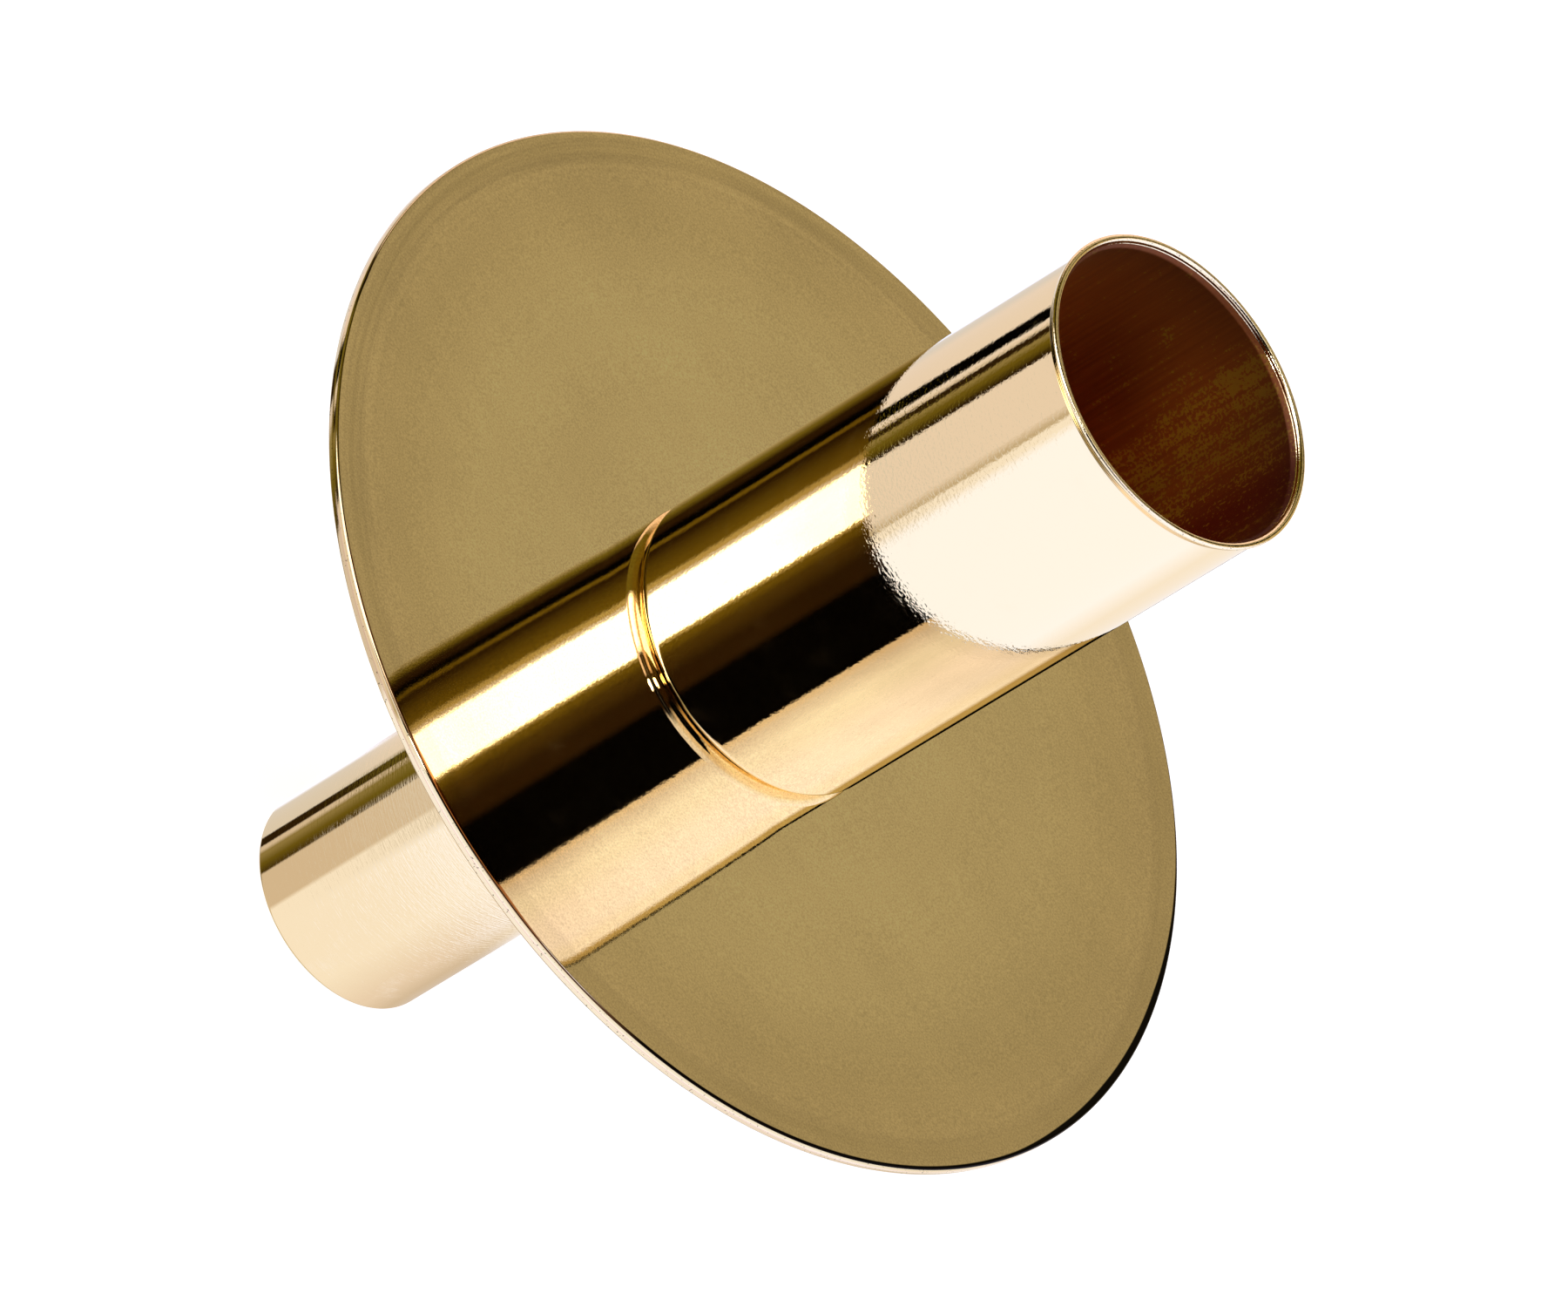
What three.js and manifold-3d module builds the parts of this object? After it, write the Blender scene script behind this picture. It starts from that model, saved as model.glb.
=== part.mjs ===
// Bottle candle holder: a drawn candle cup on a round drip disc, over a spigot that
// plugs the neck of an empty wine bottle. One machine screw holds the three together.
//
// Millimetres, +Z up. The origin is the centre of the disc's underside, which is the
// face that rests on the bottle's mouth. Everything is round about the Z axis but the nut,
// the split in the spring washer and the cross in the screw's head.

import * as THREE from "three";
import { mergeVertices } from "three/addons/utils/BufferGeometryUtils.js";
import Module from "manifold-3d";

const wasm = await Module();
wasm.setup();

// Drip disc: a sheet blank with lightly broken edges, flat where the cup and the bottle's
// lip touch it and dished a little outside, so that wax stays on it
const discDiameter = 80;
const discThickness = 1.0;
const discEdgeRound = 0.2;
const discSeatDiameter = 29; // the flat middle, as wide as a wine bottle's lip
const discDish = 0.7; // how much higher the rim stands than the middle
const discSeatMargin = 0.5; // bare ring between the spigot and what rests on the seat

// Candle cup: sheet drawn over a punch, so its outer corner is the punch's plus the sheet
const candleDiameter = 21.8; // a standard dinner candle's foot
const candleClearance = 0.2; // all round the candle
const cupSheet = 0.55;
const cupHeight = 42.7;
const cupPunchRound = 0.55;
const lipFlare = 0.28; // how far the trimmed rim turns outwards
const lipHeight = 0.8;

// Neck spigot: a shorter, thicker drawn cup, turned over, closed end against the disc
const bottleBore = 18.5; // a wine bottle's mouth inside
const bottleClearance = 0.75; // all round the spigot
const spigotSheet = 0.8;
const spigotLength = 42.8;
const spigotPunchRound = 0.4;
const spigotEndRound = 0.35; // the free end's deburred edges

// M4 screw with a cheese head, spring washer and hex nut
const screwDiameter = 4;
const screwHoleClearance = 0.25; // all round the shank, also in the washer and the nut
const screwHeadDiameter = 7;
const screwHeadHeight = 2.6;
const screwHeadRound = 0.3;
const screwTail = 1.5; // what stands out past the nut
const screwPointBevel = 0.5;
const crossWidth = 4; // the recess in the screw's head, across its wings
const crossWing = 0.9;
const crossDepth = 1.6;
const washerDiameter = 7.6;
const washerThickness = 0.9;
const washerSplit = 0.8;
const nutAcrossFlats = 7;
const nutHeight = 3.2;
const nutBevel = 0.35;

// Sides of each round piece, and steps along a quarter of a circle in a profile
const discSides = 96;
const tubeSides = 64;
const screwSides = 32;
const quarterSteps = 4;
const dishSteps = 10; // rings from the flat seat out to the rim

// Radii and heights that follow from the sizes above
const discRadius = discDiameter / 2;
const discSeat = discSeatDiameter / 2;
const cupInner = candleDiameter / 2 + candleClearance;
const cupOuter = cupInner + cupSheet;
const spigotOuter = bottleBore / 2 - bottleClearance;
const spigotInner = spigotOuter - spigotSheet;
const screwRadius = screwDiameter / 2;
const screwHole = screwRadius + screwHoleClearance;

const cupFoot = discThickness;
const cupFloor = cupFoot + cupSheet;
const spigotEnd = -spigotLength;
const washerTop = -spigotSheet;
const nutTop = washerTop - washerThickness;
const nutBottom = nutTop - nutHeight;
const screwEnd = nutBottom - screwTail;

// Points on an arc about (r, z), from one angle to another in degrees, as [radius, height].
function arc(r, z, round, from, to, steps = quarterSteps) {
  return Array.from({ length: steps + 1 }, (_, i) => {
    const angle = THREE.MathUtils.degToRad(from + ((to - from) * i) / steps);
    return [r + round * Math.cos(angle), z + round * Math.sin(angle)];
  });
}

// Points up a wall that leans out by `flare` in a smooth S from one height to another.
function leaningWall(radius, flare, from, to, steps = quarterSteps) {
  return Array.from({ length: steps + 1 }, (_, i) => {
    const t = i / steps;
    return [radius + flare * THREE.MathUtils.smoothstep(t, 0, 1), from + (to - from) * t];
  });
}

// A body turned about Z from a profile of [radius, height] points, walked anticlockwise
// with the axis on its left. A profile with a bore closes on its own first point.
function turned(profile, sides) {
  const closed = profile[0][0] > 0 ? [...profile, profile[0]] : profile;
  const points = closed.map(([radius, height]) => new THREE.Vector2(radius, height));
  return new THREE.LatheGeometry(points, sides).rotateX(Math.PI / 2);
}

// A flat outline raised from one height to another.
function raised(outline, from, to, curveSegments = screwSides) {
  const options = { depth: to - from, bevelEnabled: false, curveSegments };
  return new THREE.ExtrudeGeometry(outline, options).translate(0, 0, from);
}

function toSolid(geometry) {
  const bare = geometry.clone();
  bare.deleteAttribute("normal");
  bare.deleteAttribute("uv");
  const merged = mergeVertices(bare);
  const vertProperties = merged.attributes.position.array;
  const triVerts = new Uint32Array(merged.index.array);
  return new wasm.Manifold(new wasm.Mesh({ numProp: 3, vertProperties, triVerts }));
}

function toGeometry(solid) {
  const { vertProperties, triVerts } = solid.getMesh();
  const geometry = new THREE.BufferGeometry();
  geometry.setAttribute("position", new THREE.BufferAttribute(vertProperties, 3));
  geometry.setIndex(new THREE.BufferAttribute(triVerts, 1));
  geometry.computeVertexNormals();
  return geometry;
}

// Points along a face of the disc, from the edge of the flat seat almost to the rim. The
// dish starts flat and grows steeper outwards.
function dishedFace(seatHeight, rim) {
  return Array.from({ length: dishSteps }, (_, i) => {
    const t = i / dishSteps;
    return [discSeat + (rim - discSeat) * t, seatHeight + discDish * t ** 1.5];
  });
}

function dripDisc() {
  const edge = Math.min(discEdgeRound, discThickness / 2);
  const rim = discRadius - edge;
  return turned(
    [
      [screwHole, 0],
      [spigotOuter + discSeatMargin, 0],
      ...dishedFace(0, rim),
      ...arc(rim, discDish + edge, edge, -90, 0),
      ...arc(rim, discDish + discThickness - edge, edge, 0, 90),
      ...dishedFace(discThickness, rim).reverse(),
      [screwHole, discThickness],
    ],
    discSides,
  );
}

function candleCup() {
  const rim = cupFoot + cupHeight;
  const lipStart = rim - lipHeight;
  const rimCentre = rim - cupSheet / 2;
  const bend = cupPunchRound + cupSheet;
  const inside = leaningWall(cupInner, lipFlare, lipStart, rimCentre).reverse();
  return turned(
    [
      [screwHole, cupFoot],
      ...arc(cupOuter - bend, cupFoot + bend, bend, -90, 0, 6),
      ...leaningWall(cupOuter, lipFlare, lipStart, rimCentre),
      ...arc(cupInner + lipFlare + cupSheet / 2, rimCentre, cupSheet / 2, 30, 150),
      ...inside,
      ...arc(cupInner - cupPunchRound, cupFloor + cupPunchRound, cupPunchRound, 0, -90),
      [screwHole, cupFloor],
    ],
    tubeSides,
  );
}

function neckSpigot() {
  const bend = spigotPunchRound + spigotSheet;
  const head = -spigotSheet;
  const edge = Math.min(spigotEndRound, spigotSheet / 2);
  return turned(
    [
      [screwHole, head],
      ...arc(spigotInner - spigotPunchRound, head - spigotPunchRound, spigotPunchRound, 90, 0),
      ...arc(spigotInner + edge, spigotEnd + edge, edge, 180, 270),
      ...arc(spigotOuter - edge, spigotEnd + edge, edge, 270, 360),
      ...arc(spigotOuter - bend, -bend, bend, 0, 90, 6),
      [screwHole, 0],
    ],
    tubeSides,
  );
}

// The head stands on the cup's floor; the shank runs down through everything it holds.
function clampScrew() {
  const headRadius = screwHeadDiameter / 2;
  const headTop = cupFloor + screwHeadHeight;
  const body = turned(
    [
      [0, screwEnd],
      [screwRadius - screwPointBevel, screwEnd],
      [screwRadius, screwEnd + screwPointBevel],
      [screwRadius, cupFloor],
      [headRadius, cupFloor],
      ...arc(headRadius - screwHeadRound, headTop - screwHeadRound, screwHeadRound, 0, 90),
      [0, headTop],
    ],
    screwSides,
  );
  // The cutter stands proud of the head, so that its top face isn't shared with it.
  const cutter = (x, y) =>
    toSolid(new THREE.BoxGeometry(x, y, 2 * crossDepth).translate(0, 0, headTop));
  const cross = cutter(crossWidth, crossWing).add(cutter(crossWing, crossWidth));
  return toGeometry(toSolid(body).subtract(cross));
}

// A ring with one cut across it, flat as it lies when the nut is tight.
function springWasher() {
  const outer = washerDiameter / 2;
  const outerCut = Math.asin(washerSplit / 2 / outer);
  const innerCut = Math.asin(washerSplit / 2 / screwHole);
  const outline = new THREE.Shape();
  outline.absarc(0, 0, outer, outerCut, 2 * Math.PI - outerCut, false);
  outline.absarc(0, 0, screwHole, 2 * Math.PI - innerCut, innerCut, true);
  return raised(outline, nutTop, washerTop);
}

function hexNut() {
  const corner = nutAcrossFlats / Math.sqrt(3);
  const corners = arc(0, 0, corner, 0, 300, 5).map(([x, y]) => new THREE.Vector2(x, y));
  const outline = new THREE.Shape(corners);
  const bore = new THREE.Path();
  bore.absarc(0, 0, screwHole, 0, 2 * Math.PI, true);
  outline.holes.push(bore);

  // A turned blank, bevelled at both ends, takes the points off the six corners.
  const blank = turned(
    [
      [0, nutBottom],
      [corner - nutBevel, nutBottom],
      [corner, nutBottom + nutBevel],
      [corner, nutTop - nutBevel],
      [corner - nutBevel, nutTop],
      [0, nutTop],
    ],
    2 * screwSides,
  );
  return toGeometry(toSolid(raised(outline, nutBottom, nutTop)).intersect(toSolid(blank)));
}

// Finishes: gold-coloured polished plating outside, bright zinc on the hardware inside
const polished = { color: 0xd9b56c, metalness: 1, roughness: 0.08 };
const zinc = { color: 0xb9bcc0, metalness: 1, roughness: 0.3 };

const pieces = [
  ["candle_cup", candleCup(), polished],
  ["drip_disc", dripDisc(), polished],
  ["neck_spigot", neckSpigot(), polished],
  ["clamp_screw", clampScrew(), zinc],
  ["spring_washer", springWasher(), zinc],
  ["hex_nut", hexNut(), zinc],
];

const holder = new THREE.Group();
for (const [name, geometry, finish] of pieces) {
  const mesh = new THREE.Mesh(geometry, new THREE.MeshStandardMaterial(finish));
  mesh.name = name;
  holder.add(mesh);
}

export default holder;
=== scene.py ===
# %% [markdown]
# Bottle candle holder
#
# The object is a candlestick for the neck of an empty wine bottle. A drawn cup takes the
# candle, a round, very slightly dished disc catches the wax and rests on the bottle's
# mouth, and a narrower tube under the disc plugs the neck. All three are thin sheet steel,
# polished and plated in a light gold, and one screw with a spring washer and a nut clamps
# them together.
#
# The engineering model is loaded first, as a fixed frame. Every piece below sits exactly
# where its solid sits there and replaces it with a smooth, closely rounded surface, since
# a mirror finish shows every flat facet of a coarse solid.

from math import atan, cos, pi, radians, sin

import bmesh
import bpy
from mathutils import Matrix, Vector


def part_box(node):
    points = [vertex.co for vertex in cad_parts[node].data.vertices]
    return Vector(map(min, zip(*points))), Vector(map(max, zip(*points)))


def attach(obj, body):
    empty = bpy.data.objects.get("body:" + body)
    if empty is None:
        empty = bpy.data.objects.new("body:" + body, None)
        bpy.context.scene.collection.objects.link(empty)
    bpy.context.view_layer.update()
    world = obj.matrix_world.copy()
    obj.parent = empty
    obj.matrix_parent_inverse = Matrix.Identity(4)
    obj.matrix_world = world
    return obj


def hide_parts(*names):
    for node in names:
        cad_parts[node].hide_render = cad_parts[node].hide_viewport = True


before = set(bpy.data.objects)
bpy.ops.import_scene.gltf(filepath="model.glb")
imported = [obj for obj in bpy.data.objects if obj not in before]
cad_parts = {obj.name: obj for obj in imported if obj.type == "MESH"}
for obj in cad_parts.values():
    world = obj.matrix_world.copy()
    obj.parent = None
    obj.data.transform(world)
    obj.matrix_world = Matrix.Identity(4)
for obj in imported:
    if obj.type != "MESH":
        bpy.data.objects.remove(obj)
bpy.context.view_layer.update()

# %% [markdown]
# Lengths are written in millimetres, as on a drawing, and turned to Blender's metres where
# a mesh or a pattern is made. The sizes that the solids' boxes show are read from them, so
# each new surface has the size of the solid it stands for. A box shows no thickness of
# sheet, flare, dish or hole, so these are named here. Roundings and other sizes of a single
# piece are named beside that piece.

# %% Sizes
MM = 0.001


def box_mm(node):
    """The solid's lowest and highest corner, in millimetres."""
    low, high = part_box(node)
    return low / MM, high / MM


disc_low, disc_high = box_mm("drip_disc")
cup_low, cup_high = box_mm("candle_cup")
spigot_low, spigot_high = box_mm("neck_spigot")
screw_low, screw_high = box_mm("clamp_screw")
washer_low, washer_high = box_mm("spring_washer")
nut_low, nut_high = box_mm("hex_nut")

CUP_SHEET = 0.55
LIP_FLARE = 0.28
DISC_DISH = 0.7
SPIGOT_SHEET = 0.8
SCREW_HOLE = 2.25  # the radius of the hole in the cup, the disc, the spigot and the washer

disc_radius = disc_high.x
disc_top = disc_high.z - DISC_DISH
cup_outer = cup_high.x - LIP_FLARE
cup_inner = cup_outer - CUP_SHEET
spigot_outer = spigot_high.x
spigot_inner = spigot_outer - SPIGOT_SHEET
outer_radii = (disc_radius, cup_outer, spigot_outer)
print("disc, cup and spigot, in mm across:", *[round(2 * r, 1) for r in outer_radii])

# %% [markdown]
# Colours are picked the way they look, as sRGB hex codes, and one function turns them into
# the linear light values that the renderer counts in. A second small function adds a node
# to a material or to the world: its settings are the node's own switches, and its sockets
# take either a plain value or the output of another node. A third one fills a colour ramp
# that was added, because a ramp's stops are neither switches nor sockets.
#
# Many sockets below belong to a Map Range node: 0 is the value that goes in, 1 and 2 are
# the two ends it is read between, and 3 and 4 are what comes out at those ends. Most of a
# noise pattern lies between 0.3 and 0.7, so these ends have a name, and so do two settings
# that come back often.

# %% Colours and nodes
MULTIPLY = {"operation": "MULTIPLY"}
MIX_COLOURS = {"data_type": "RGBA"}
NOISE_ENDS = {1: 0.3, 2: 0.7}


def linear(code, level=1.0):
    """The linear colour of an sRGB hex code, times a level, with full alpha."""
    channels = [int(code[i : i + 2], 16) / 255 for i in (0, 2, 4)]
    bent = [c / 12.92 if c <= 0.04045 else ((c + 0.055) / 1.055) ** 2.4 for c in channels]
    return (*[level * c for c in bent], 1.0)


def add(tree, kind, settings=None, sockets=None):
    """Adds a node of a kind, with its settings, and with values or links on its sockets."""
    node = tree.nodes.new(kind)
    for name, value in (settings or {}).items():
        setattr(node, name, value)
    for socket, value in (sockets or {}).items():
        if isinstance(value, bpy.types.NodeSocket):
            tree.links.new(value, node.inputs[socket])
        else:
            node.inputs[socket].default_value = value
    return node


def set_stops(ramp, stops):
    """Gives a colour ramp its stops, each a position from 0 to 1 and a linear colour."""
    elements = ramp.color_ramp.elements
    while len(elements) < len(stops):
        elements.new(1.0)
    for element, (position, colour) in zip(elements, stops):
        element.position = position
        element.color = colour


# %% [markdown]
# The camera is a long lens, a good metre away. It looks down on the disc at 37.5 degrees
# and is rolled so far that the cup points to the upper right of the picture. Its place was
# found by fitting the outline of the disc and the two tubes. The look-at point is the
# middle of the disc's rim, and a small sideways shift puts it right in the frame.

# %% Camera
CAMERA_ELEVATION = radians(37.456)
CAMERA_ROLL = radians(58.575)
CAMERA_DISTANCE = 1126.2
CAMERA_RIGHT = 1.596
CAMERA_DOWN = 0.406
LENS = 368.9

back = Vector((0, -cos(CAMERA_ELEVATION), sin(CAMERA_ELEVATION)))
level_right = Vector((1, 0, 0))
level_up = back.cross(level_right)
right = cos(CAMERA_ROLL) * level_right + sin(CAMERA_ROLL) * level_up
up = cos(CAMERA_ROLL) * level_up - sin(CAMERA_ROLL) * level_right

lens = bpy.data.cameras.new("long_lens")
lens.lens = LENS
lens.sensor_width = 36
camera = bpy.data.objects.new("camera", lens)
bpy.context.scene.collection.objects.link(camera)
middle = Vector((0, 0, (disc_high.z + DISC_DISH) / 2))
place = middle + CAMERA_DISTANCE * back + CAMERA_RIGHT * right - CAMERA_DOWN * up
facing = Matrix((right, up, back)).transposed().to_4x4()
camera.matrix_world = Matrix.Translation(place * MM) @ facing
bpy.context.scene.camera = camera
bpy.context.scene.view_settings.view_transform = "Standard"
print("camera at", [round(x, 4) for x in camera.location])

# %% [markdown]
# Polished metal has almost no colour of its own: it shows the studio around it, tinted
# gold. So most of the picture is made here. The photographer's room is drawn on the world
# as cards, as one would hang them round a table: a large white softbox on the left, the
# dark room behind the camera, a wide pale sweep on the right and under the object, and a
# khaki wall at the back, which is what the disc mirrors. Cards could also be real planes
# with emission, but the world renders with less noise and lights evenly.

# %% Colours of the cards
BLACK = linear("030201")
SOOT = linear("2C1D08")
BROWN = linear("4A3A12")
BRONZE = linear("6A5A18")
MOSS = linear("706524")
OLIVE = linear("BBAC78")
SAND = linear("C4AE76")
OCHRE = linear("90804E")
KHAKI = linear("AEA17D")
ZENITH = linear("F4EEE0", 1.2)
STEEL_GREY = linear("D7C8B9")
BLUSH = linear("EDE2DF")
ROSE = linear("FFE2D6", 1.1)
MIST = linear("E9E9FF", 1.04)
SKY = linear("D4D9FC", 1.78)
DAYLIGHT = linear("E2E5F9", 1.49)
HAZE = linear("DEE5FF", 1.47)
PEWTER = linear("DFDAD9")
PEARL = linear("FDFAFD")
DRAB = linear("C6B7A0")
WHITE_BOX = linear("FFFFFF", 4.0)
LAMP = linear("FFFFFF", 14.0)
NADIR = linear("D8CDB8")
print("light of the darkest and the brightest card:", round(BLACK[0], 4), round(LAMP[0], 1))

# %% [markdown]
# Each belt of elevation lists its cards in order of azimuth. Azimuth 0 is the camera's
# side, 90 is the disc's +X side, and 180 is the far side. A card has the azimuth where it
# starts, the softness of that edge, both in degrees, and its colour.

# %% Cards above the horizon
top_belt = [
    (-180, 10, KHAKI),
    (-150, 15, BLACK),
    (-78, 4, WHITE_BOX),
    (-40, 4, BLACK),
    (50, 8, SKY),
    (145, 15, KHAKI),
]
upper_belt = [
    (-180, 1, KHAKI),
    (-161, 9, MOSS),
    (-144.5, 6, SOOT),
    (-129, 3, BLACK),
    (-119, 0.9, BRONZE),
    (-114.3, 1, SOOT),
    (-99, 12, BRONZE),
    (-84.8, 1.3, OLIVE),
    (-79.5, 1.2, MIST),
    (-76.5, 0.8, WHITE_BOX),
    (-40.2, 0.5, OLIVE),
    (-37.5, 0.8, BRONZE),
    (-32, 2.5, BROWN),
    (-22, 6, SOOT),
    (-3, 2.4, BLACK),
    (45.0, 0.6, BLUSH),
    (49, 2.5, MIST),
    (58, 6, HAZE),
    (80, 10, SKY),
    (124, 8, DAYLIGHT),
    (145, 3.5, SAND),
    (161.5, 1.2, BLACK),
    (177, 0.7, KHAKI),
]
shelf_belt = [
    (-180, 4, KHAKI),
    (-168, 4, ROSE),
    (-121, 4, MOSS),
    (-78, 3, ROSE),
    (-24, 1.5, BROWN),
    (-19.5, 0.8, LAMP),
    (-13.5, 0.8, SOOT),
    (6, 4, MIST),
    (60, 10, SKY),
    (143.5, 5, SAND),
    (170, 2, BLACK),
    (177.5, 2, KHAKI),
]
front_belt = [
    (-180, 5, KHAKI),
    (-168, 6, ROSE),
    (-128, 6, MOSS),
    (-76, 3, WHITE_BOX),
    (-40, 4, BROWN),
    (-20, 5, BLACK),
    (10, 5, MIST),
    (60, 10, HAZE),
    (143.5, 5, SAND),
    (170, 4, KHAKI),
]
upper_cards = (top_belt, upper_belt, shelf_belt, front_belt)
print("cards above the horizon, belt by belt:", *[len(cards) for cards in upper_cards])

# %% [markdown]
# Below the horizon the cards are the table and what lies on it. A vertical wall mirrors
# what lies as far below the horizon as the camera looks down on it: 36 degrees at the
# cup's rim, 38 at its foot and 39.5 at the spigot's end. The belts change at 37.1 and at
# 38.85 degrees, so the cup's upper part, its foot and the spigot have their own cards.

# %% Cards below the horizon
low_belt = [
    (-180, 5, BLUSH),
    (-124, 6, MOSS),
    (-72, 6, HAZE),
    (130, 12, BLUSH),
]
table_far = [
    (-180, 1, HAZE),
    (-166, 5, PEWTER),
    (-146, 6, BLUSH),
    (-111, 0.7, BLACK),
    (-100.3, 0.6, BLUSH),
    (-96.3, 0.8, STEEL_GREY),
    (-94, 0.6, SOOT),
    (-88.6, 0.8, OCHRE),
    (-84.5, 2, BRONZE),
    (-77.5, 3.5, SOOT),
    (-72.2, 0.8, BLUSH),
    (-30, 3, DRAB),
    (-25.3, 0.9, PEARL),
    (-18, 3, HAZE),
    (118, 12, PEARL),
    (172.5, 0.8, BROWN),
    (177.5, 0.8, HAZE),
]
table_slit = [
    (-180, 1, BLUSH),
    (-114, 3, MOSS),
    (-74, 3, PEWTER),
    (-16, 5, HAZE),
    (124, 10, PEARL),
]
table_near = [
    (-180, 1, HAZE),
    (-153, 5, PEWTER),
    (-111, 0.8, SOOT),
    (-100.2, 0.8, STEEL_GREY),
    (-93.7, 2.2, OCHRE),
    (-84.5, 4.5, BRONZE),
    (-75.5, 4, BROWN),
    (-69.6, 0.9, STEEL_GREY),
    (-33, 2, PEARL),
    (80, 24, BLUSH),
    (124, 16, STEEL_GREY),
]
lower_cards = (low_belt, table_far, table_slit, table_near)
print("cards below the horizon, belt by belt:", *[len(cards) for cards in lower_cards])

# %% [markdown]
# The world's nodes turn the direction of a ray into azimuth and elevation. The azimuth is
# counted in two halves of a turn, because a colour ramp is stored in 256 steps. Over half a
# turn these are 0.7 degrees each, fine enough for the thin dark lines beside the tubes.

# %% World
world = bpy.data.worlds.new("studio")
bpy.context.scene.world = world
world.use_nodes = True
sky = world.node_tree
sky.nodes.clear()

direction = add(sky, "ShaderNodeTexCoord").outputs["Generated"]
axes = add(sky, "ShaderNodeSeparateXYZ", {}, {0: direction}).outputs
toward = add(sky, "ShaderNodeMath", MULTIPLY, {0: axes["Y"], 1: -1.0}).outputs[0]
turn = add(sky, "ShaderNodeMath", {"operation": "ARCTAN2"}, {0: axes["X"], 1: toward}).outputs[0]
rise = add(sky, "ShaderNodeMath", {"operation": "ARCSINE"}, {0: axes["Z"]}).outputs[0]
left_half = add(sky, "ShaderNodeMapRange", {}, {0: turn, 1: -pi, 2: 0.0}).outputs[0]
right_half = add(sky, "ShaderNodeMapRange", {}, {0: turn, 1: 0.0, 2: pi}).outputs[0]
on_right = add(sky, "ShaderNodeMath", {"operation": "GREATER_THAN"}, {0: turn, 1: 0.0}).outputs[0]
print("world's directions:", len(sky.nodes), "nodes")

# %% [markdown]
# One colour ramp holds the cards of half a belt. The belts are then laid over each other
# from the ground up, each from its own elevation. What the camera sees straight past the
# object is a plain white of strength 1.

# %% Belts of cards
def half_belt(cards, first, last, place_along):
    """A ramp of the cards between two azimuths, with each soft edge as a pair of stops."""
    ramp = add(sky, "ShaderNodeValToRGB", {}, {0: place_along})
    stops = []
    before = cards[-1][2]
    for start, softness, colour in cards:
        for azimuth, shown in ((start - softness, before), (start + softness, colour)):
            stops.append((azimuth, shown))
        before = colour
    inside = [(a, c) for a, c in stops if first < a < last]
    opening = [c for a, c in stops if a <= first][-1:] or [cards[-1][2]]
    closing = [c for a, c in stops if a >= last][:1] or [cards[-1][2]]
    wanted = [(first, opening[0]), *inside, (last, closing[0])]
    set_stops(ramp, [((azimuth - first) / (last - first), colour) for azimuth, colour in wanted])
    return ramp.outputs["Color"]


def belt(cards):
    """All the cards of one belt, as a colour that follows the azimuth."""
    halves = [half_belt(cards, -180, 0, left_half), half_belt(cards, 0, 180, right_half)]
    sockets = {0: on_right, 6: halves[0], 7: halves[1]}
    return add(sky, "ShaderNodeMix", MIX_COLOURS, sockets).outputs[2]


layers = [
    (-62, 6, belt(table_near)),
    (-38.85, 0.12, belt(table_slit)),
    (-37.1, 0.15, belt(table_far)),
    (-28, 3, belt(low_belt)),
    (0, 1, belt(front_belt)),
    (16, 3, belt(shelf_belt)),
    (31, 0.6, belt(upper_belt)),
    (56, 4, belt(top_belt)),
    (82, 3, None),
]
shown = add(sky, "ShaderNodeRGB")
shown.outputs[0].default_value = NADIR
shown = shown.outputs[0]
for start, softness, colour in layers:
    edges = {0: rise, 1: radians(start - softness), 2: radians(start + softness)}
    above = add(sky, "ShaderNodeMapRange", {"interpolation_type": "SMOOTHSTEP"}, edges).outputs[0]
    sockets = {0: above, 6: shown, 7: colour or ZENITH}
    shown = add(sky, "ShaderNodeMix", MIX_COLOURS, sockets).outputs[2]

seen = add(sky, "ShaderNodeLightPath").outputs["Is Camera Ray"]
backdrop = {0: seen, 6: shown, 7: linear("FFFFFF")}
backdrop = add(sky, "ShaderNodeMix", MIX_COLOURS, backdrop).outputs[2]
light = add(sky, "ShaderNodeBackground", {}, {"Color": backdrop, "Strength": 1.0})
add(sky, "ShaderNodeOutputWorld", {}, {"Surface": light.outputs[0]})
print("world has", len(sky.nodes), "nodes")

# %% [markdown]
# The floor is a pale table that the holder stands on, on the free end of its spigot. To the
# camera it gives off most of its white itself, so the page stays white as in a catalogue,
# and the rest of its light is real, so that the object's soft shadow stays in it. Mirror
# rays pass it by and meet the studio's own table belts, and from below it is clear.

# %% Floor
FLOOR_RADIUS = 3.0
FLOOR_OWN_LIGHT = 0.72
FLOOR_ALBEDO = linear("C8C8C8")

floor_bm = bmesh.new()
bmesh.ops.create_circle(floor_bm, cap_ends=True, segments=96, radius=FLOOR_RADIUS)
bmesh.ops.translate(floor_bm, verts=floor_bm.verts, vec=(0, 0, spigot_low.z * MM))
floor_mesh = bpy.data.meshes.new("floor")
floor_bm.to_mesh(floor_mesh)
floor_bm.free()
floor = bpy.data.objects.new("floor", floor_mesh)
bpy.context.scene.collection.objects.link(floor)
floor.visible_glossy = False

paper = bpy.data.materials.new("matt white paper")
paper.use_nodes = True
sheet = paper.node_tree
sheet.nodes.clear()
matt = add(sheet, "ShaderNodeBsdfDiffuse", {}, {"Color": FLOOR_ALBEDO})
own = add(sheet, "ShaderNodeLightPath").outputs["Is Camera Ray"]
own_light = add(sheet, "ShaderNodeMath", MULTIPLY, {0: own, 1: FLOOR_OWN_LIGHT})
glow = add(sheet, "ShaderNodeEmission", {}, {"Strength": own_light.outputs[0]})
both = add(sheet, "ShaderNodeAddShader", {}, {0: matt.outputs[0], 1: glow.outputs[0]})
clear = add(sheet, "ShaderNodeBsdfTransparent")
under = add(sheet, "ShaderNodeNewGeometry").outputs["Backfacing"]
sides = {0: under, 1: both.outputs[0], 2: clear.outputs[0]}
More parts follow.
